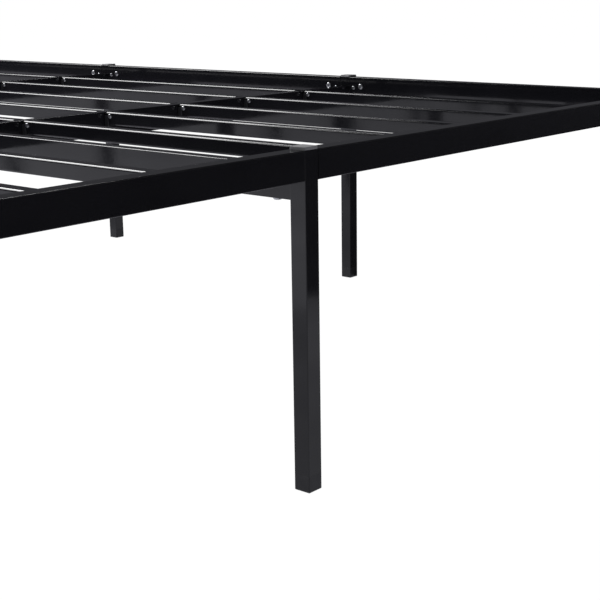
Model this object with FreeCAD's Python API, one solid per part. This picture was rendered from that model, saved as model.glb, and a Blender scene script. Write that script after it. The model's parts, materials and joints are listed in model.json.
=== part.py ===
import FreeCAD, Part
import os

# Platform bed frame of square and rectangular steel tube that bolts together.
# Millimetres. Origin on the floor under the middle of the bed, +Z up, +Y from the foot to the
# head, +X to the right of someone who looks from the foot to the head.

# Driving dimensions
bed_width = 1800.0
bed_length = 2000.0
rail_top = 389.0            # floor to the top of the outer rails
inner_row = 342.0           # middle of the bed to each of the two inner rows of posts
post_size = 22.0            # square tube of the twelve posts
post_wall = 1.2
rail_depth = 22.0           # outer rails, across
rail_height = 33.5
rail_wall = 1.2
slat_width = 20.0
slat_height = 19.5
slat_wall = 1.0
slat_drop = 17.0            # slat tops below the rail tops
slats_per_side = 5          # rows of slats on each side of the centre beam
middle_spacing = 128.0      # middle of the bed to the first row
slat_pitch = 157.0          # from there out to the side rails
beam_depth = 18.0           # centre beam and cross rails, across
beam_height = 37.5
beam_drop = 1.0             # centre beam's top below the slat tops
tube_corner = 1.0           # outside corner radius of posts, rails, cross rails and beams
slat_corner = 2.4
butt_gap = 0.5              # between a rail's cut end and the post it meets
slat_end_gap = 3.5          # between a slat's cut end and the face it runs to
fit_clearance = 0.3         # around a tongue or a plug in its tube, and inside a collar

cap_height = 3.4
cap_plug_depth = 12.0
cap_edge = 0.6
foot_height = 20.0
foot_plug_depth = 15.0
foot_chamfer = 0.8
plug_wall = 2.0

tongue_length = 45.0
tongue_wall = 1.5
plug_length = 30.0          # of a slat bracket's plug, from the face that it is on
plate_thickness = 1.5
collar_length = 8.0         # of a slat bracket's collar, from the face that it is on
collar_wall = 1.2
collar_drop = 4.5           # slat top to the collar's upper edge

bolt_radius = 3.0
bolt_head_radius = 5.2
bolt_head_height = 3.0
bolt_shank = 11.0
bolt_hole_radius = 3.3
bolt_offset = 27.5          # post face to bolt axis
socket_across = 4.0
socket_depth = 2.0
nut_across = 10.0
nut_height = 5.0
screw_radius = 2.0
screw_head_radius = 3.4
screw_head_height = 2.2
screw_shank = 6.0
screw_hole_radius = 2.1
rail_screw_offset = 10.0    # post face to the small screw beside the bolt
rail_screw_drop = 3.0       # bolt axis down to that screw's axis
slat_screw_inset = 8.0      # slat end to screw axis
slat_screw_drop = 6.0       # slat top to screw axis
cross_slot = (3.6, 0.9, 1.0)    # length, width and depth of each stroke of a screw's cross

# Worked out from the driving dimensions
half_post = post_size / 2
post_x = bed_width / 2 - half_post
post_y = bed_length / 2 - half_post
rows = (-post_y, -inner_row, inner_row, post_y)
slat_top = rail_top - slat_drop
slat_middle = slat_top - slat_height / 2
slat_bottom = slat_top - slat_height
rail_middle = rail_top - rail_height / 2
beam_middle = slat_top - beam_drop - beam_height / 2
cross_rail_middle = slat_top - beam_height / 2
side_inner_face = bed_width / 2 - rail_depth
end_inner_face = bed_length / 2 - rail_depth
inner_face = inner_row - beam_depth / 2
outer_face = inner_row + beam_depth / 2
slat_bays = ((-end_inner_face, -outer_face), (-inner_face, inner_face), (outer_face, end_inner_face))

V = FreeCAD.Vector
directions = {"x": V(1, 0, 0), "y": V(0, 1, 0), "z": V(0, 0, 1)}
up = directions["z"]


def export(name, solids):
    """Write one node: a single solid, or a group of separate solids."""
    shape = solids[0] if len(solids) == 1 else Part.makeCompound(solids)
    shape.exportStep(f"parts/{name}.step")


def bar(centre, size, corner, axis):
    """Solid bar with its four long edges, those along axis, rounded."""
    solid = Part.makeBox(*size, centre - V(*size) / 2)
    along = directions[axis]
    long_edges = [edge for edge in solid.Edges if abs(edge.tangentAt(0).dot(along)) > 0.99]
    return solid.makeFillet(corner, long_edges)


def tube(centre, size, corner, wall, axis):
    """Open-ended tube along axis."""
    bore = [side - 2 * wall for side in size]
    bore["xyz".index(axis)] += 4 * wall
    return bar(centre, size, corner, axis).cut(bar(centre, bore, max(corner - wall, 0.4), axis))


def tube_between(start, end, across, corner, wall, gap):
    """Tube from one point to another along X or Y, a gap short of each; across is (depth, height)."""
    axis = "x" if abs(end.x - start.x) > abs(end.y - start.y) else "y"
    length = (end - start).Length - 2 * gap
    depth, height = across
    size = (length, depth, height) if axis == "x" else (depth, length, height)
    return tube((start + end) / 2, size, corner, wall, axis)


def stand(solid, place, outward):
    """Copy of a fastener made along +Z, with its head turned to face outward."""
    copy = solid.copy()
    copy.Placement = FreeCAD.Placement(place, FreeCAD.Rotation(up, outward))
    return copy


def hole(place, outward, radius, depth):
    """Cylinder that cuts a fastener's hole from just outside a wall to depth behind it."""
    return Part.makeCylinder(radius, depth + 1, place + outward, -outward)


def hexagon(across_flats, height, base):
    """Upright hexagonal prism."""
    corners = []
    for turn in range(6):
        corner = V(across_flats / 3 ** 0.5, 0, 0)
        corners.append(FreeCAD.Rotation(up, 60 * turn).multVec(corner) + base)
    return Part.Face(Part.makePolygon(corners + corners[:1])).extrude(up * height)


def make_bolt():
    """Button-head bolt: head above Z = 0 with a hexagonal socket, shank below."""
    head = Part.makeCylinder(bolt_head_radius, bolt_head_height)
    rim = [edge for edge in head.Edges if edge.CenterOfMass.z > bolt_head_height - 0.01]
    head = head.makeFillet(bolt_head_height * 0.7, rim)
    shank = Part.makeCylinder(bolt_radius, bolt_shank + 0.5, V(0, 0, -bolt_shank))
    socket = hexagon(socket_across, socket_depth + 1, V(0, 0, bolt_head_height - socket_depth))
    return head.fuse(shank).cut(socket).removeSplitter()


def make_screw():
    """Pan-head screw: head above Z = 0 with a cross recess, shank below."""
    head = Part.makeCylinder(screw_head_radius, screw_head_height)
    rim = [edge for edge in head.Edges if edge.CenterOfMass.z > screw_head_height - 0.01]
    head = head.makeFillet(screw_head_height * 0.6, rim)
    shank = Part.makeCylinder(screw_radius, screw_shank + 0.5, V(0, 0, -screw_shank))
    screw = head.fuse(shank)
    stroke, width, depth = cross_slot
    for size in ((stroke, width, depth), (width, stroke, depth)):
        corner = V(-size[0] / 2, -size[1] / 2, screw_head_height - depth)
        screw = screw.cut(Part.makeBox(size[0], size[1], depth + 1, corner))
    return screw.removeSplitter()


def make_nut():
    """Weld nut for the bolt, its top face at Z = 0."""
    bore = Part.makeCylinder(bolt_radius + 0.1, nut_height + 2, V(0, 0, -nut_height - 1))
    return hexagon(nut_across, nut_height, V(0, 0, -nut_height)).cut(bore)


bolt = make_bolt()
screw = make_screw()
nut = make_nut()
bolts = []
nuts = []
rail_screws = []
slat_screws = []
rail_tongues = []
beam_tongues = []


def joint_tongue(post_face, along, outward, across, wall, screwed):
    """Tongue welded to a post's face, with the bolt that holds a tube of that section on it.

    post_face is the middle of the joint on the post, along points into the tube and outward is
    the way that the bolt's head faces. Returns the tongue and the holes to cut in the tube."""
    depth, height = (side - 2 * (wall + fit_clearance) for side in across)
    axis = "x" if abs(along.x) > 0.5 else "y"
    size = (tongue_length, depth, height) if axis == "x" else (depth, tongue_length, height)
    tongue = tube(post_face + along * (tongue_length / 2), size, 1.0, tongue_wall, axis)
    half = across[1] / 2 if abs(outward.z) > 0.5 else across[0] / 2
    bolt_seat = post_face + along * bolt_offset + outward * half
    nut_seat = bolt_seat - outward * (wall + fit_clearance + tongue_wall)
    bolts.append(stand(bolt, bolt_seat, outward))
    nuts.append(stand(nut, nut_seat, outward))
    cuts = [hole(bolt_seat, outward, bolt_hole_radius, wall + tongue_wall + 3)]
    if screwed:
        screw_seat = post_face + along * rail_screw_offset + outward * half - up * rail_screw_drop
        rail_screws.append(stand(screw, screw_seat, outward))
        cuts.append(hole(screw_seat, outward, screw_hole_radius, wall + tongue_wall + 3))
    return tongue.cut(Part.makeCompound(cuts)), cuts


def bolted_tube(start, end, outward, across, wall, tongues, screwed=False):
    """Tube between two posts' faces, with a tongue, a bolt and a nut at each end."""
    body = tube_between(start, end, across, tube_corner, wall, butt_gap)
    along = (end - start).normalize()
    for place, way in ((start, along), (end, -along)):
        tongue, cuts = joint_tongue(place, way, outward, across, wall, screwed)
        tongues.append(tongue)
        body = body.cut(Part.makeCompound(cuts))
    return body


def post_cap(x, y, tube_top):
    """Plastic cap: a head with rounded edges on a hollow plug that fills the tube's mouth."""
    head = bar(V(x, y, tube_top + cap_height / 2), (post_size, post_size, cap_height), 2.0, "z")
    rim = [edge for edge in head.Edges if edge.BoundBox.ZMin > tube_top + cap_height - 0.01]
    head = head.makeFillet(cap_edge, rim)
    side = post_size - 2 * (post_wall + fit_clearance)
    plug = tube(V(x, y, tube_top - cap_plug_depth / 2), (side, side, cap_plug_depth), 0.8, plug_wall, "z")
    return head.fuse(plug).removeSplitter()


def post_foot(x, y):
    """Plastic foot: a block as wide as the post, on the floor, under a plug in the tube."""
    block = bar(V(x, y, foot_height / 2), (post_size, post_size, foot_height), tube_corner, "z")
    rim = [edge for edge in block.Edges if edge.BoundBox.ZMax < 0.01]
    block = block.makeChamfer(foot_chamfer, rim)
    side = post_size - 2 * (post_wall + fit_clearance)
    middle = foot_height + foot_plug_depth / 2
    plug = tube(V(x, y, middle), (side, side, foot_plug_depth), 0.8, plug_wall, "z")
    return block.fuse(plug).removeSplitter()


def make_posts():
    """Twelve posts with their caps and feet: three across the bed in each of four rows."""
    caps = []
    for y, row_name in zip(rows, ("foot", "front", "rear", "head")):
        for column, column_name in enumerate(("left", "middle", "right")):
            x = (column - 1) * post_x
            under_slats = column_name == "middle" and row_name in ("front", "rear")
            tube_top = slat_top - cap_height if under_slats else rail_top
            size = (post_size, post_size, tube_top - foot_height)
            centre = V(x, y, (tube_top + foot_height) / 2)
            export(f"post_{row_name}_{column_name}", [tube(centre, size, tube_corner, post_wall, "z")])
            export(f"foot_{row_name}_{column_name}", [post_foot(x, y)])
            caps.append(post_cap(x, y, tube_top))
    export("post_caps", caps)


def make_end_rails():
    """Foot rail and head rail, each in two halves that meet the middle post."""
    for name, facing in (("foot", 1), ("head", -1)):
        for side_name, side in (("left", -1), ("right", 1)):
            near = V(side * half_post, -facing * post_y, rail_middle)
            far = V(side * side_inner_face, -facing * post_y, rail_middle)
            rail = bolted_tube(near, far, V(0, facing, 0), (rail_depth, rail_height), rail_wall,
                               rail_tongues, screwed=True)
            export(f"rail_{name}_{side_name}", [rail])


def make_bay_tubes():
    """What runs lengthwise between the rows of posts: side rails and the centre beam."""
    for bay, bay_name in enumerate(("front", "middle", "rear")):
        start_y = rows[bay] + half_post
        end_y = rows[bay + 1] - half_post
        for side_name, side in (("left", -1), ("right", 1)):
            start = V(side * post_x, start_y, rail_middle)
            end = V(side * post_x, end_y, rail_middle)
            rail = bolted_tube(start, end, V(-side, 0, 0), (rail_depth, rail_height), rail_wall,
                               rail_tongues, screwed=True)
            export(f"rail_{side_name}_{bay_name}", [rail])
        beam = bolted_tube(V(0, start_y, beam_middle), V(0, end_y, beam_middle), -up,
                           (beam_depth, beam_height), rail_wall, beam_tongues)
        export(f"centre_beam_{bay_name}", [beam])


def make_cross_rails():
    """Rails across the bed at the two inner rows of posts, their tops level with the slats."""
    for row_name, y in (("front", -inner_row), ("rear", inner_row)):
        for side_name, side in (("left", -1), ("right", 1)):
            near = V(side * half_post, y, cross_rail_middle)
            far = V(side * side_inner_face, y, cross_rail_middle)
            rail = bolted_tube(near, far, -up, (beam_depth, beam_height), rail_wall, beam_tongues)
            export(f"cross_rail_{row_name}_{side_name}", [rail])


def slat_end(x, face_y, way):
    """Plastic bracket on the face that a slat runs to, and the screw that holds the slat on it.

    The bracket is a plate with a hollow plug inside the slat and an open-topped collar around it.
    Returns the bracket and the hole to cut in the slat."""
    width = slat_width - 2 * (slat_wall + fit_clearance)
    height = slat_height - 2 * (slat_wall + fit_clearance)
    plug = tube(V(x, face_y + way * plug_length / 2, slat_middle), (width, plug_length, height), 0.8,
                plug_wall, "y")
    outside = slat_width + 2 * (fit_clearance + collar_wall)
    top = slat_top - collar_drop
    bottom = slat_bottom - fit_clearance - collar_wall
    middle = (top + bottom) / 2
    collar = bar(V(x, face_y + way * collar_length / 2, middle), (outside, collar_length, top - bottom),
                 1.0, "z")
    slat_space = V(x, face_y + way * (plate_thickness + collar_length / 2), slat_middle)
    room = (slat_width + 2 * fit_clearance, collar_length, slat_height + 2 * fit_clearance)
    collar = collar.cut(bar(slat_space, room, slat_corner, "y"))
    seat_y = face_y + way * (slat_end_gap + slat_screw_inset)
    seat = V(x - slat_width / 2, seat_y, slat_top - slat_screw_drop)
    cut = hole(seat, V(-1, 0, 0), screw_hole_radius, slat_wall + plug_wall + 2)
    slat_screws.append(stand(screw, seat, V(-1, 0, 0)))
    return collar.fuse(plug.cut(cut)).removeSplitter(), cut


def make_slats():
    """Rows of slats, three slats end to end in each, on brackets at both ends of each slat."""
    brackets = []
    one_side = [middle_spacing + step * slat_pitch for step in range(slats_per_side)]
    places = [-x for x in reversed(one_side)] + one_side
    for row, x in enumerate(places, start=1):
        slats = []
        for start_y, end_y in slat_bays:
            start = V(x, start_y, slat_middle)
            end = V(x, end_y, slat_middle)
            slat = tube_between(start, end, (slat_width, slat_height), slat_corner, slat_wall, slat_end_gap)
            for face_y, way in ((start.y, 1), (end.y, -1)):
                bracket, cut = slat_end(x, face_y, way)
                brackets.append(bracket)
                slat = slat.cut(cut)
            slats.append(slat)
        export(f"slat_row_{row:02d}", slats)
    export("slat_brackets", brackets)


os.makedirs("parts", exist_ok=True)
make_posts()
make_end_rails()
make_bay_tubes()
make_cross_rails()
make_slats()
export("rail_tongues", rail_tongues)
export("beam_tongues", beam_tongues)
export("frame_bolts", bolts)
export("frame_nuts", nuts)
export("rail_screws", rail_screws)
export("slat_screws", slat_screws)
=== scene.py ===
import json
import math

import bpy
from mathutils import Matrix, Vector


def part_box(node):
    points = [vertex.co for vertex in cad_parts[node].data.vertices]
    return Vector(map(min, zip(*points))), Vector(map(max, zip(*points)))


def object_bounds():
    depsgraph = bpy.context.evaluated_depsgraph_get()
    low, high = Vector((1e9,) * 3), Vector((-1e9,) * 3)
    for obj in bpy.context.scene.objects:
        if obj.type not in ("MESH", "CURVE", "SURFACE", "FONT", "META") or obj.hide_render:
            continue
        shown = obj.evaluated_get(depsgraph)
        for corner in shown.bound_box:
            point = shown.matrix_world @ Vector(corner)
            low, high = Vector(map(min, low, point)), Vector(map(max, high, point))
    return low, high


# Looks of the metal bed frame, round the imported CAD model. Metres, +Z up, +Y from the foot to the
# head of the bed, +X to the right of someone who looks that way.

MM = 0.001

# Camera: its place is given from the outer left edge of the middle foot post, at the height of the
# rail tops.
camera_from_corner = Vector((-1.0336, -0.8838, 0.1713))
camera_heading = 39.869         # degrees from +X towards +Y
camera_pitch = 13.817           # degrees below the horizon
camera_roll = -0.620            # degrees
focal_length = 77.1             # millimetres
sensor_width = 36.0             # millimetres
camera_shift = -0.0355
clip_start = 0.05
clip_end = 200.0

# Studio
floor_size = 120.0
floor_glow = 1.00               # the floor is a white sweep that glows
floor_white = 0.03
floor_mottle = 1.03             # how much lighter than the rest its pale patches are
surround_white = 1.0            # what the camera sees past the floor
surround_dark = 0.06            # what the paint mirrors there
surround_blue = 1.1             # its blue, as a multiple of its red and green
softbox_size = (5.1, 2.5)
softbox_centre = Vector((0.35, 2.77, 2.75))
softbox_power = 330.0

# Cards just above the floor that only reflections see. Each has where it starts and ends along the
# mirrored view and to the left of it, its height, and the darkest and lightest tone of its glow.
cards = {
    "floor_card": ((-9.0, 9.0), (-9.0, 9.0), 0.001, (0.38, 0.52)),
    "left_card": ((-9.0, -0.85), (-8.0, 8.0), 0.002, (0.60, 0.85)),
    "black_card": ((0.93, 9.0), (-8.0, 8.0), 0.002, (0.02, 0.04)),
    "right_card": ((0.27, 1.0), (0.5, 8.0), 0.003, (0.02, 0.04)),
}
card_patch = 0.4                # size of the soft patches of its two tones
card_edges = (0.35, 0.65)       # noise at which a card is darkest and lightest
card_blue = 1.08                # its blue, as a multiple of its red and green

# Noise at which a finish has its first and its last tone, or its lowest and highest number
noise_low = 0.3
noise_high = 0.7

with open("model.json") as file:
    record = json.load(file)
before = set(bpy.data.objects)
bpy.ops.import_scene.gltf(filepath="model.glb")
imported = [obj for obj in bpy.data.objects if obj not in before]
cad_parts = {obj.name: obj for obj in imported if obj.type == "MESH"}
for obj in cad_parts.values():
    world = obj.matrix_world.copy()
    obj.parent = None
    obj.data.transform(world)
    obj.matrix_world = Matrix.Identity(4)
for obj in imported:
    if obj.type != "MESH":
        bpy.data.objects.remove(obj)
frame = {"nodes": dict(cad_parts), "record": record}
cad_box = [list(corner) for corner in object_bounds()]


# ---------------------------------------------------------------- shader helpers

class Shader:
    """A new node material with a Principled BSDF, and short ways to add and join nodes."""

    def __init__(self, name):
        self.material = bpy.data.materials.new(name)
        self.material.use_nodes = True
        self.tree = self.material.node_tree
        self.tree.nodes.clear()
        output = self.node("ShaderNodeOutputMaterial")
        self.surface = self.node("ShaderNodeBsdfPrincipled")
        self.join(self.surface, "BSDF", output, "Surface")
        self.place = self.node("ShaderNodeTexCoord")

    def node(self, kind):
        return self.tree.nodes.new(kind)

    def join(self, source, out_name, target, in_name):
        self.tree.links.new(source.outputs[out_name], target.inputs[in_name])

    def set(self, **values):
        """Constants on the Principled BSDF's own sockets, underscores standing for spaces."""
        for key, value in values.items():
            self.surface.inputs[key.replace("_", " ")].default_value = value

    def noise(self, size, detail=2.0, roughness=0.5):
        """Noise whose features are about size metres across."""
        made = self.node("ShaderNodeTexNoise")
        made.inputs["Scale"].default_value = 1.0 / size
        made.inputs["Detail"].default_value = detail
        made.inputs["Roughness"].default_value = roughness
        self.join(self.place, "Object", made, "Vector")
        return made

    def paint(self, source, first, last):
        """Base colour that goes from first to last with a noise."""
        made = self.node("ShaderNodeValToRGB")
        stops = ((noise_low, first), (noise_high, last))
        for element, (place, colour) in zip(made.color_ramp.elements, stops):
            element.position = place
            element.color = (*colour, 1.0)
        self.join(source, "Fac", made, "Fac")
        self.join(made, "Color", self.surface, "Base Color")

    def roughen(self, source, low, high):
        """Roughness that goes from low to high with a noise."""
        made = self.node("ShaderNodeMapRange")
        made.inputs["From Min"].default_value = noise_low
        made.inputs["From Max"].default_value = noise_high
        made.inputs["To Min"].default_value = low
        made.inputs["To Max"].default_value = high
        self.join(source, "Fac", made, "Value")
        self.join(made, "Result", self.surface, "Roughness")

    def bumps(self, *layers):
        """Bump from layers of (noise, height in metres, strength), joined one on another."""
        previous = None
        for source, height, strength in layers:
            bump = self.node("ShaderNodeBump")
            bump.inputs["Strength"].default_value = strength
            bump.inputs["Distance"].default_value = height
            self.join(source, "Fac", bump, "Height")
            if previous:
                self.join(previous, "Normal", bump, "Normal")
            previous = bump
        self.join(previous, "Normal", self.surface, "Normal")


# ---------------------------------------------------------------- finishes

def black_paint():
    """Gloss black powder coat: orange peel, faint haze and fine dust nibs."""
    shader = Shader("black_paint")
    blotches = shader.noise(90 * MM, detail=3.0)
    peel = shader.noise(5.0 * MM, detail=1.0)
    nibs = shader.noise(0.7 * MM)
    haze = shader.noise(35 * MM, detail=4.0, roughness=0.6)
    shader.paint(blotches, (0.0072, 0.0072, 0.0090), (0.0096, 0.0096, 0.0120))
    shader.roughen(haze, 0.05, 0.11)
    shader.bumps((peel, 0.02 * MM, 0.5), (nibs, 0.004 * MM, 0.4))
    shader.set(IOR=1.5)
    return shader.material


def cap_plastic_painted_sheen():
    """Satin moulded black plastic of the post caps, painted much greyer than the paint: the grey
    base colour is a painted sheen that stands in for the bright reflection on the cap tops.
    """
    shader = Shader("cap_plastic_painted_sheen")
    grain = shader.noise(0.5 * MM, detail=3.0)
    flow = shader.noise(12 * MM)
    # Painted sheen: grey base colour in place of the reflection on the tops of the black caps,
    # drifting a little with the flow noise.
    shader.paint(flow, (0.33, 0.33, 0.34), (0.38, 0.38, 0.39))
    shader.roughen(grain, 0.60, 0.72)
    shader.bumps((grain, 0.02 * MM, 0.5))
    shader.set(IOR=1.5)
    return shader.material


def matte_plastic():
    """Matte moulded black plastic of the feet and slat brackets, with a spark-eroded grain."""
    shader = Shader("matte_plastic")
    grain = shader.noise(0.6 * MM, detail=4.0, roughness=0.6)
    flow = shader.noise(15 * MM)
    shader.paint(flow, (0.020, 0.020, 0.023), (0.030, 0.030, 0.033))
    shader.roughen(grain, 0.42, 0.58)
    shader.bumps((grain, 0.05 * MM, 0.6))
    shader.set(IOR=1.5)
    return shader.material


def plated_steel():
    """Bright zinc plating on the bolts, nuts and screws: fine grain and duller patches."""
    shader = Shader("plated_steel")
    crystals = shader.noise(0.9 * MM, detail=3.0, roughness=0.6)
    patches = shader.noise(6 * MM, detail=3.0)
    shader.paint(patches, (0.50, 0.51, 0.54), (0.68, 0.69, 0.71))
    shader.roughen(crystals, 0.22, 0.40)
    shader.bumps((crystals, 0.03 * MM, 0.5))
    shader.set(Metallic=1.0)
    return shader.material


def dress_frame():
    """Give every CAD node the finish of its material slot."""
    finishes = {"black_paint": black_paint(), "black_cap_plastic": cap_plastic_painted_sheen(),
                "black_foot_plastic": matte_plastic(), "plated_steel": plated_steel()}
    for part in frame["record"]["subparts"]:
        node = frame["nodes"][part["node"]]
        for slot in node.material_slots:
            slot.material = finishes[part["material_slot"]]


# ---------------------------------------------------------------- the studio

def stage_plane(name, size, place, rotation, material):
    """Rectangle of the studio, facing its own +Z."""
    x, y = (side / 2 for side in size)
    mesh = bpy.data.meshes.new(name)
    mesh.from_pydata([(-x, -y, 0), (x, -y, 0), (x, y, 0), (-x, y, 0)], [], [(0, 1, 2, 3)])
    mesh.materials.append(material)
    plane = bpy.data.objects.new(name, mesh)
    plane.matrix_world = Matrix.Translation(place) @ rotation.to_4x4()
    bpy.context.scene.collection.objects.link(plane)
    return plane


def floor_material():
    """White sweep: nearly all its own glow, over a very faint mottle like that of paper."""
    shader = Shader("floor_white")
    paper = shader.noise(0.4)
    shader.paint(paper, (floor_white,) * 3, (floor_white * floor_mottle,) * 3)
    shader.set(Roughness=1.0, Specular_IOR_Level=0.0)
    shader.set(Emission_Color=(1.0, 1.0, 1.0, 1.0), Emission_Strength=floor_glow)
    return shader.material


def card_material(name, tones):
    """Plain glow that drifts between two tones."""
    material = bpy.data.materials.new(name)
    material.use_nodes = True
    nodes = material.node_tree.nodes
    links = material.node_tree.links
    nodes.clear()
    output = nodes.new("ShaderNodeOutputMaterial")
    light = nodes.new("ShaderNodeEmission")
    place = nodes.new("ShaderNodeTexCoord")
    clouds = nodes.new("ShaderNodeTexNoise")
    clouds.inputs["Scale"].default_value = 1.0 / card_patch
    clouds.inputs["Detail"].default_value = 2.0
    glow = nodes.new("ShaderNodeValToRGB")
    for element, edge, tone in zip(glow.color_ramp.elements, card_edges, tones):
        element.position = edge
        element.color = (tone, tone, tone * card_blue, 1.0)
    links.new(place.outputs["Object"], clouds.inputs["Vector"])
    links.new(clouds.outputs["Fac"], glow.inputs["Fac"])
    links.new(glow.outputs["Color"], light.inputs["Color"])
    links.new(light.outputs["Emission"], output.inputs["Surface"])
    return material


def make_card(name, along, across, height, tones):
    """Card measured from the middle foot post.

    Along is the direction in which the foot rail mirrors the camera's view, and across is to the
    left of that."""
    turn = Matrix.Rotation(math.radians(-camera_heading), 3, "Z")
    foot_post = Vector((0, cad_box[0][1], height))
    middle = Vector(((along[0] + along[1]) / 2, (across[0] + across[1]) / 2, 0))
    size = (along[1] - along[0], across[1] - across[0])
    card = stage_plane(name, size, foot_post + turn @ middle, turn, card_material(name, tones))
    card.visible_camera = False
    card.visible_shadow = False
    card.visible_transmission = False


def make_world():
    """White surround for the camera, a dim room for everything that the paint mirrors."""
    world = bpy.data.worlds.new("studio")
    bpy.context.scene.world = world
    world.use_nodes = True
    nodes = world.node_tree.nodes
    links = world.node_tree.links
    nodes.clear()
    output = nodes.new("ShaderNodeOutputWorld")
    seen = nodes.new("ShaderNodeBackground")
    seen.inputs["Color"].default_value = (surround_white, surround_white, surround_white, 1.0)
    room = nodes.new("ShaderNodeBackground")
    dim = (surround_dark, surround_dark, surround_dark * surround_blue, 1.0)
    room.inputs["Color"].default_value = dim
    which = nodes.new("ShaderNodeMixShader")
    rays = nodes.new("ShaderNodeLightPath")
    links.new(rays.outputs["Is Camera Ray"], which.inputs["Fac"])
    links.new(room.outputs["Background"], which.inputs[1])
    links.new(seen.outputs["Background"], which.inputs[2])
    links.new(which.outputs["Shader"], output.inputs["Surface"])


def make_softbox():
    """Large soft light that faces straight down, past the head of the bed."""
    light = bpy.data.lights.new("softbox", "AREA")
    light.shape = "RECTANGLE"
    light.size, light.size_y = softbox_size
    light.energy = softbox_power
    lamp = bpy.data.objects.new("softbox", light)
    lamp.location = softbox_centre
    lamp.visible_camera = False
    bpy.context.scene.collection.objects.link(lamp)


def make_studio():
    stage_plane("floor", (floor_size, floor_size), Vector((0, 0, 0)), Matrix.Identity(3),
                floor_material())
    make_world()
    make_softbox()
    for name, (along, across, height, tones) in cards.items():
        make_card(name, along, across, height, tones)


def make_camera():
    post_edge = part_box("post_foot_middle")[0]
    corner = Vector((post_edge.x, post_edge.y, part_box("rail_foot_right")[1].z))
    data = bpy.data.cameras.new("camera")
    data.lens = focal_length
    data.sensor_width = sensor_width
    data.shift_x = camera_shift
    data.clip_start = clip_start
    data.clip_end = clip_end
    camera = bpy.data.objects.new("camera", data)
    turn = (Matrix.Rotation(math.radians(camera_heading - 90.0), 4, "Z")
            @ Matrix.Rotation(math.radians(90.0 - camera_pitch), 4, "X")
            @ Matrix.Rotation(math.radians(camera_roll), 4, "Z"))
    camera.matrix_world = Matrix.Translation(corner + camera_from_corner) @ turn
    bpy.context.scene.collection.objects.link(camera)
    bpy.context.scene.camera = camera


dress_frame()
make_studio()
make_camera()
bpy.context.scene.view_settings.view_transform = "Standard"
